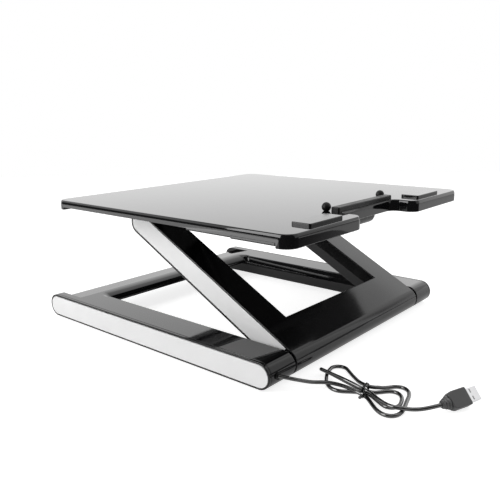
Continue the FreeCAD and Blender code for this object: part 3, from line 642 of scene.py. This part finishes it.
def add_block(name, node, slot, material, corner, low_round, high_round):
    """A block with round corners in place of a plain node of the same box."""
    low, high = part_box(node)
    bm = bmesh.new()
    outline = box_outline(low.x, high.x, low.y, high.y, corner)
    slab(bm, outline, low.z, high.z, low_round, high_round, flat_seat)
    new_piece(name, bm, "panel", slot, material, node)


def add_peg(name):
    low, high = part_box(f"panel_{name}_peg")
    radius = (high.x - low.x) / 2
    middle = Vector(((low.x + high.x) / 2, (low.y + high.y) / 2, high.z - radius))
    cut = math.asin((low.z - middle.z) / radius)
    turns = [cut + (math.pi / 2 - cut) * i / PEG_STEPS for i in range(PEG_STEPS)]

    def seat(across, along, level):
        return middle + Vector((across, along, level))

    bm = bmesh.new()
    profile = [(radius * math.cos(t), radius * math.sin(t)) for t in turns]
    lathe(bm, profile + [(radius * PEG_TIP, radius)], seat)
    new_piece(f"panel_{name}_ball", bm, "panel", "black_rubber", RUBBER, f"panel_{name}_peg")


def add_hinge_block():
    low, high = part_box("panel_hinge_block")
    radius = (high.y - low.y) / 2
    middle = (low.y + high.y) / 2
    outline = arc(middle, low.z + radius, radius, 180, 360, 2 * ARC_STEPS)
    outline += [Vector((high.y, high.z)), Vector((low.y, high.z))]
    bm = bmesh.new()
    slab(bm, outline, low.x, high.x, EDGE, EDGE, side_seat)
    new_piece("panel_hinge", bm, "panel", "gloss_black", GLOSS, "panel_hinge_block")


add_panel_shell()
add_hinge_block()
add_block("panel_housing", "panel_tub", "matte_black", MATTE, TUB_CORNER, TUB_ROUND, 0)
add_block("panel_stop_bar", "panel_stop", "black_rubber", RUBBER, STOP_CORNER, 0, STOP_ROUND)
for side_name in SIDES:
    pad_name = f"panel_{side_name}_pad"
    rest_name = f"panel_{side_name}_rest"
    add_block(rest_name, pad_name, "black_rubber", SMOOTH_RUBBER, PAD_CORNER, 0, PAD_ROUND)
    add_peg(side_name)

# Small nodes that are used as they are
KEPT_SURFACES = {"pin": STEEL, "gland": RUBBER, "foot": RUBBER}


def dress_nodes():
    for name, node in frame["nodes"].items():
        for word, material in KEPT_SURFACES.items():
            if word in name.split("_"):
                node.data.materials.clear()
                node.data.materials.append(material)


dress_nodes()

# Cord, as steps in millimetres right, rear and up from the table under the gland's mouth
CORD_DIAMETER = 3.4 * MM
CORD_ROUNDNESS = 5
CORD_FINENESS = 8
LEAD = [
    (0, 0, 14.25),
    (1.8, -4.2, 14.0),
    (5.5, -11.0, 13.0),
    (14.0, -15.4, 9.5),
    (23.0, -19.6, 6.0),
    (31.0, -26.8, 5.4),
    (35.0, -37.5, 5.2),
    (36.6, -49.0, 4.2),
    (37.2, -58.0, 2.2),
]
OUTER_RIGHT_LOOP = [
    (35.9, -64.6, 1.7),
    (31.2, -70.4, 1.7),
    (25.4, -76.8, 1.7),
    (20.6, -83.0, 1.7),
    (18.0, -89.0, 1.7),
    (18.6, -94.8, 1.7),
    (22.8, -98.8, 1.7),
    (29.6, -99.8, 1.7),
    (38.2, -98.0, 1.7),
    (50.6, -94.2, 1.7),
    (61.0, -91.4, 1.7),
    (67.8, -87.4, 1.7),
    (71.0, -81.4, 1.7),
    (69.0, -75.2, 1.7),
    (63.6, -71.4, 1.7),
    (57.5, -68.2, 2.6),
    (53.8, -66.1, 3.8),
    (50.2, -64.2, 4.6),
    (48.2, -60.6, 5.0),
]
LEFT_LOOP = [
    (48.5, -56.4, 5.0),
    (50.7, -53.0, 4.2),
    (54.6, -47.0, 2.6),
    (63.0, -36.2, 1.7),
    (71.2, -25.8, 1.7),
    (74.3, -21.8, 1.7),
    (74.6, -16.8, 1.7),
    (72.0, -12.5, 1.7),
    (67.4, -10.5, 1.7),
    (62.4, -11.6, 1.7),
    (56.0, -13.0, 1.7),
    (48.0, -17.2, 1.7),
    (37.2, -24.0, 1.7),
    (30.2, -32.8, 1.7),
    (30.0, -41.4, 1.7),
    (35.3, -49.0, 1.7),
    (39.9, -56.0, 1.7),
]
INNER_RIGHT_LOOP = [
    (41.4, -62.0, 1.7),
    (40.2, -67.0, 1.7),
    (37.0, -72.6, 1.7),
    (32.0, -81.0, 1.7),
    (30.6, -85.0, 1.7),
    (31.6, -89.2, 1.7),
    (34.7, -92.2, 1.7),
    (38.9, -93.2, 1.7),
    (43.3, -92.3, 1.7),
    (51.3, -89.6, 1.7),
    (57.0, -85.4, 1.7),
    (59.0, -80.6, 1.7),
    (58.0, -76.0, 1.7),
    (54.4, -72.6, 1.7),
    (50.6, -69.6, 1.7),
    (46.9, -66.6, 1.7),
]
FOLDED_LOOP = [
    (45.0, -61.0, 1.7),
    (44.2, -53.0, 2.6),
    (44.6, -43.0, 4.0),
    (47.2, -32.0, 4.4),
    (50.5, -21.3, 4.3),
    (51.6, -17.2, 4.15),
    (52.25, -14.2, 4.15),
    (50.9, -11.65, 5.3),
    (48.3, -11.15, 6.95),
    (46.05, -12.95, 8.1),
    (45.5, -16.0, 8.1),
    (44.6, -21.0, 8.1),
    (42.4, -30.0, 8.4),
    (40.0, -43.0, 8.4),
    (39.2, -54.0, 7.0),
]
TAIL = [
    (39.8, -62.0, 5.3),
    (38.0, -68.4, 5.1),
    (33.6, -75.2, 5.1),
    (30.2, -82.0, 5.1),
    (27.8, -89.4, 5.2),
    (28.0, -95.2, 5.5),
    (30.6, -100.0, 5.2),
    (35.6, -104.2, 3.6),
    (40.4, -109.0, 3.2),
    (43.0, -114.0, 4.6),
    (45.6, -118.6, 6.4),
    (50.0, -123.4, 7.955),
]
gland_low, gland_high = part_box("base_gland")
CORD_EXIT = Vector(((gland_low.x + gland_high.x) / 2, gland_low.y, 0))


def add_cord():
    """One smooth curve; its thickness is in the points' radius, which the bevel takes as it is."""
    route = LEAD + OUTER_RIGHT_LOOP + LEFT_LOOP + INNER_RIGHT_LOOP + FOLDED_LOOP + TAIL
    curve = bpy.data.curves.new("cord", "CURVE")
    curve.dimensions = "3D"
    curve.bevel_depth = 1.0
    curve.bevel_resolution = CORD_ROUNDNESS
    curve.resolution_u = CORD_FINENESS
    curve.use_fill_caps = True
    line = curve.splines.new("NURBS")
    line.points.add(len(route) - 1)
    for point, step in zip(line.points, route):
        point.co = (CORD_EXIT + Vector(step) * MM).to_4d()
        point.radius = CORD_DIAMETER / 2
    line.order_u = 3
    line.use_endpoint_u = True
    cord = bpy.data.objects.new("cord", curve)
    scene.collection.objects.link(cord)
    return cord


cord = add_cord()
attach(cord, "base")
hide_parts("cord_lead", "cord_hank", "cord_tail")
cord.data.materials.append(VINYL)

# Twist tie round the hank's waist, as steps in millimetres right and up in the waist's plane
TIE_CORNERS = [(33.9, 0), (51.6, 0), (51.6, 5.6), (48.8, 8.1), (38.8, 8.1), (33.9, 4.4)]
TIE_EASE = 1.2 * MM
TIE_WIDTH = 2.4 * MM
TIE_WALL = 0.7 * MM
TIE_EDGE = 0.25 * MM
TIE_SKEW = 0.2
TIE_SHIFT = 3.5 * MM
TIE_END_RADIUS = 1.1 * MM
TIE_END_LENGTH = 4 * MM
TIE_END_TURNS = 3
TIE_END_HEIGHT = 1.6 * MM
TIE_END_BULGE = 0.15
TIE_END_TIP = 0.5
TIE_END_SIDES = 16
TWIST_STEPS = 6
tie_low, tie_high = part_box("cord_tie")
tie_middle = (tie_low + tie_high) / 2 + Vector((0, TIE_SHIFT, 0))


def tie_seat(across, up, level):
    """A place on the tie, which runs aslant over the strands."""
    return Vector((across, tie_middle.y + level + TIE_SKEW * (across - tie_middle.x), up))


def add_tie():
    bm = bmesh.new()
    outline = eased_outline([Vector((CORD_EXIT.x + x * MM, z * MM)) for x, z in TIE_CORNERS], TIE_EASE)
    half = TIE_WIDTH / 2
    stations = [(TIE_EDGE, -half), (0, -half + TIE_EDGE), (0, half - TIE_EDGE), (TIE_EDGE, half)]
    stations += [(TIE_WALL, half), (TIE_WALL, -half)]
    loft(bm, outline, stations, tie_seat, ring=True)
    root = tie_seat(outline[-1].x + TIE_END_RADIUS, TIE_END_HEIGHT, 0)

    def end_seat(across, up, level):
        return root + Vector((-level, across, up))

    rings = TWIST_STEPS * TIE_END_TURNS
    profile = []
    for i in range(rings + 1):
        bulge = 1 + TIE_END_BULGE * math.cos(2 * math.pi * TIE_END_TURNS * i / rings)
        profile.append((TIE_END_RADIUS * bulge, TIE_END_LENGTH * i / rings))
    profile.append((TIE_END_RADIUS * TIE_END_TIP, TIE_END_LENGTH + TIE_EDGE))
    lathe(bm, profile, end_seat, TIE_END_SIDES)
    return new_piece("cord_twist_tie", bm, "base", "cord_black", VINYL, "cord_tie")


# Plug, in its own axes: along it from the cord, across and out of its broad face
PLUG_LENGTH = 20 * MM
PLUG_WIDTH = 15 * MM
PLUG_THICKNESS = 7.5 * MM
PLUG_TAPER = 3.5 * MM
PLUG_SHOULDER = 5.8 * MM
PLUG_EDGE = 1.0 * MM
PLUG_EASE = 1.5 * MM
NECK_LENGTH = 8.5 * MM
NECK_RADIUS = 5.6 * MM
NECK_TIP = 2.6 * MM
NECK_FLATNESS = 0.62
NECK_RIBS = 3
NECK_GROOVE = 0.7 * MM
NECK_SOFT = 0.15 * MM
TIP_RUN = 0.25
RIB_START = 0.4
RIB_SPARE = 0.5
RIB_STEPS = [
    (0, NECK_GROOVE),
    (0.06, NECK_SOFT),
    (0.15, 0),
    (0.6, 0),
    (0.69, NECK_SOFT),
    (0.75, NECK_GROOVE),
]
SHELL_LENGTH = 12 * MM
SHELL_WIDTH = 12 * MM
SHELL_THICKNESS = 4.5 * MM
SHELL_WALL = 0.5 * MM
SHELL_DEPTH = 10 * MM
SHELL_CORNER = 0.6 * MM
SHELL_EDGE = 0.2 * MM
PLUG_TURN = math.radians(-20)
PLUG_ROLL = math.radians(45)
cord_end = CORD_EXIT + Vector(TAIL[-1]) * MM
plug_turn = Matrix.Rotation(PLUG_TURN, 4, "Z") @ Matrix.Rotation(PLUG_ROLL, 4, "X")


def plug_seat(along, across, up):
    """A place on the plug, counted along it from the cord's end."""
    return cord_end + plug_turn @ Vector((along, across, up))


def add_plug_body():
    rear = NECK_LENGTH
    front = rear + PLUG_LENGTH
    half = PLUG_WIDTH / 2
    corners = [
        Vector((rear, -PLUG_SHOULDER)),
        Vector((rear + PLUG_TAPER, -half)),
        Vector((front, -half)),
        Vector((front, half)),
        Vector((rear + PLUG_TAPER, half)),
        Vector((rear, PLUG_SHOULDER)),
    ]
    bm = bmesh.new()
    outline = eased_outline(corners, PLUG_EASE)
    slab(bm, outline, -PLUG_THICKNESS / 2, PLUG_THICKNESS / 2, PLUG_EDGE, PLUG_EDGE, plug_seat)
    return new_piece("usb_body", bm, "base", "cord_black", PLUG, "usb_plug")


def add_plug_neck():
    """Ribs that grow towards the plug; a step is a share of the pitch and a depth under the crest."""
    pitch = NECK_LENGTH / (NECK_RIBS + RIB_SPARE)
    profile = [(NECK_TIP, 0), (NECK_TIP, TIP_RUN * pitch)]
    for i in range(NECK_RIBS):
        start = (i + RIB_START) * pitch
        radius = NECK_TIP + (NECK_RADIUS - NECK_TIP) * (i + 1) / NECK_RIBS
        profile += [(radius - depth, start + share * pitch) for share, depth in RIB_STEPS]
    profile.append((NECK_RADIUS - NECK_GROOVE, NECK_LENGTH))

    def seat(across, up, level):
        return plug_seat(level, across, up * (1 - (1 - NECK_FLATNESS) * level / NECK_LENGTH))

    bm = bmesh.new()
    lathe(bm, profile, seat)
    return new_piece("usb_relief", bm, "base", "cord_black", PLUG, "usb_neck")


def shell_seat(across, up, level):
    return plug_seat(NECK_LENGTH + PLUG_LENGTH + level, across, up)


def add_plug_shell():
    half_width = SHELL_WIDTH / 2
    half_height = SHELL_THICKNESS / 2
    outline = box_outline(-half_width, half_width, -half_height, half_height, SHELL_CORNER)
    bm = bmesh.new()
    stations = [(0, 0), (0, SHELL_LENGTH - SHELL_EDGE), (SHELL_EDGE, SHELL_LENGTH)]
    stations += [(SHELL_WALL, SHELL_LENGTH), (SHELL_WALL, SHELL_LENGTH - SHELL_DEPTH)]
    loft(bm, outline, stations, shell_seat)
    return new_piece("usb_sleeve", bm, "base", "plug_steel", TINNED, "usb_shell")


TONGUE_THICKNESS = 1.8 * MM
TONGUE_SHORT = 0.6 * MM
TONGUE_CORNER = 0.3 * MM
TONGUE_EDGE = 0.2 * MM
WINDOW_WIDTH = 3.2 * MM
WINDOW_LENGTH = 1.2 * MM
WINDOW_PLACE = 3.5 * MM
WINDOW_PROUD = 0.03 * MM


def add_plug_insert():
    """The tongue inside the shell and the two square windows in each of its broad faces."""
    bm = bmesh.new()
    half = SHELL_WIDTH / 2 - SHELL_WALL
    top = SHELL_THICKNESS / 2 - SHELL_WALL
    tongue = box_outline(-half, half, top - TONGUE_THICKNESS, top, TONGUE_CORNER)
    slab(bm, tongue, SHELL_LENGTH - SHELL_DEPTH, SHELL_LENGTH - TONGUE_SHORT, 0, TONGUE_EDGE, shell_seat)
    for face in SIDES.values():
        for side in SIDES.values():
            centre = side * SHELL_WIDTH / 4
            left = centre - WINDOW_WIDTH / 2
            right = centre + WINDOW_WIDTH / 2
            buried = SHELL_THICKNESS / 2 - SHELL_WALL / 2
            low, high = sorted((face * buried, face * (SHELL_THICKNESS / 2 + WINDOW_PROUD)))
            window = box_outline(left, right, low, high, WINDOW_PROUD)
            slab(bm, window, WINDOW_PLACE, WINDOW_PLACE + WINDOW_LENGTH, 0, 0, shell_seat)
    return new_piece("usb_insert", bm, "base", "plug_steel", INSERT)


cord_ends = [add_tie(), add_plug_neck(), add_plug_body(), add_plug_shell(), add_plug_insert()]

# Floor and light
scene.view_settings.view_transform = "Standard"
FLOOR_GLOW = 0.35
FLOOR_CAMERA_GLOW = 0.8
FLOOR_WHITE = 0.6
FLOOR_ROUGHNESS = 0.9
FLOOR_FAR = 2.2
FLOOR_NEAR = 0.2
FLOOR_LEFT = 2.5
FLOOR_RIGHT = 4.0
VIEW_RIGHT = 0.36
DARK_END = 0.71
AHEAD = Vector((math.sin(CAMERA_YAW), math.cos(CAMERA_YAW), 0))
ASIDE = Vector((math.cos(CAMERA_YAW), -math.sin(CAMERA_YAW), 0))


def add_floor():
    """A white floor that ends near the camera: faces turned to the front mirror the dark beyond it."""
    here = Vector((CAMERA_PLACE.x, CAMERA_PLACE.y, 0))
    corners = [
        (FLOOR_NEAR, -FLOOR_LEFT),
        (FLOOR_NEAR, VIEW_RIGHT),
        (DARK_END, VIEW_RIGHT),
        (DARK_END, FLOOR_RIGHT),
        (FLOOR_FAR, FLOOR_RIGHT),
        (FLOOR_FAR, -FLOOR_LEFT),
    ]
    bm = bmesh.new()
    bm.faces.new([bm.verts.new(here + AHEAD * ahead + ASIDE * aside) for ahead, aside in corners])
    bmesh.ops.recalc_face_normals(bm, faces=bm.faces)
    mesh = bpy.data.meshes.new("floor")
    bm.to_mesh(mesh)
    bm.free()
    material = bpy.data.materials.new("floor_white")
    material.use_nodes = True
    tree = material.node_tree
    shader = tree.nodes["Principled BSDF"]
    shader.inputs["Base Color"].default_value = (FLOOR_WHITE, FLOOR_WHITE, FLOOR_WHITE, 1)
    shader.inputs["Roughness"].default_value = FLOOR_ROUGHNESS
    shader.inputs["Specular IOR Level"].default_value = 0.0
    shader.inputs["Emission Color"].default_value = (1, 1, 1, 1)
    rays = tree.nodes.new("ShaderNodeLightPath")
    glow = tree.nodes.new("ShaderNodeMapRange")
    glow.inputs["To Min"].default_value = FLOOR_GLOW
    glow.inputs["To Max"].default_value = FLOOR_CAMERA_GLOW
    tree.links.new(rays.outputs["Is Camera Ray"], glow.inputs["Value"])
    tree.links.new(glow.outputs["Result"], shader.inputs["Emission Strength"])
    mesh.materials.append(material)
    floor = bpy.data.objects.new("floor", mesh)
    scene.collection.objects.link(floor)


def add_softbox(name, place, aim, width, height, power, roll=0):
    light = bpy.data.lights.new(name, "AREA")
    light.shape = "RECTANGLE"
    light.size = width
    light.size_y = height
    light.energy = power
    box = bpy.data.objects.new(name, light)
    box.location = place
    turn = (Vector(aim) - Vector(place)).to_track_quat("-Z", "Y")
    box.rotation_euler = (turn @ Quaternion((0, 0, 1), math.radians(roll))).to_euler()
    box.visible_camera = False
    scene.collection.objects.link(box)


BACK_LIGHT = 1.0
FRONT_LIGHT = 0.06
FADE_START = 0.2
FADE_END = 0.5


def add_world():
    """White behind the stand, dark on the camera's side and overhead, and white to the camera."""
    world = bpy.data.worlds.new("surroundings")
    scene.world = world
    world.use_nodes = True
    tree = world.node_tree
    ground = tree.nodes["Background"]
    place = tree.nodes.new("ShaderNodeTexCoord")
    facing = tree.nodes.new("ShaderNodeVectorMath")
    facing.operation = "DOT_PRODUCT"
    facing.inputs[1].default_value = AHEAD
    tree.links.new(place.outputs["Generated"], facing.inputs[0])
    fade = tree.nodes.new("ShaderNodeMapRange")
    fade.interpolation_type = "SMOOTHSTEP"
    fade.inputs["From Min"].default_value = FADE_START
    fade.inputs["From Max"].default_value = FADE_END
    fade.inputs["To Min"].default_value = FRONT_LIGHT
    fade.inputs["To Max"].default_value = BACK_LIGHT
    tree.links.new(facing.outputs["Value"], fade.inputs["Value"])
    rays = tree.nodes.new("ShaderNodeLightPath")
    seen = tree.nodes.new("ShaderNodeMath")
    seen.operation = "MAXIMUM"
    tree.links.new(rays.outputs["Is Camera Ray"], seen.inputs[0])
    tree.links.new(fade.outputs["Result"], seen.inputs[1])
    tree.links.new(seen.outputs["Value"], ground.inputs["Color"])


STAND_MIDDLE = Vector((0, 0, 0.08))
LOW = 0.004
add_floor()
add_world()
add_softbox("left_softbox", (-1.79, 0.74, 0.85), STAND_MIDDLE, 1.1, 1.2, 24)
add_softbox("left_rear_softbox", (-1.2, 1.7, 1.05), STAND_MIDDLE, 1.4, 1.2, 6.5)
add_softbox("left_sweep", (-0.98, 0.95, LOW), (-0.98, 0.95, 1), 0.8, 1.1, 3.2)
add_softbox("left_strip", (-0.72, 0.3, LOW), (-0.72, 0.3, 1), 0.3, 0.3, 0.8)
add_softbox("rear_softbox", AHEAD * 2.2 + Vector((0, 0, 0.8)), STAND_MIDDLE, 3.0, 1.3, 4)
add_softbox("right_softbox", (1.9, -0.35, 0.42), (0, -0.35, 0.0), 2.2, 0.9, 2.8, roll=30)
add_softbox("front_softbox", (0.56, -1.1, 0.68), (-0.06, -0.34, 0.01), 1.3, 1.3, 4)
add_softbox("top_softbox", (0, -0.2, 1.7), STAND_MIDDLE, 2.0, 2.0, 12)

bpy.context.view_layer.update()
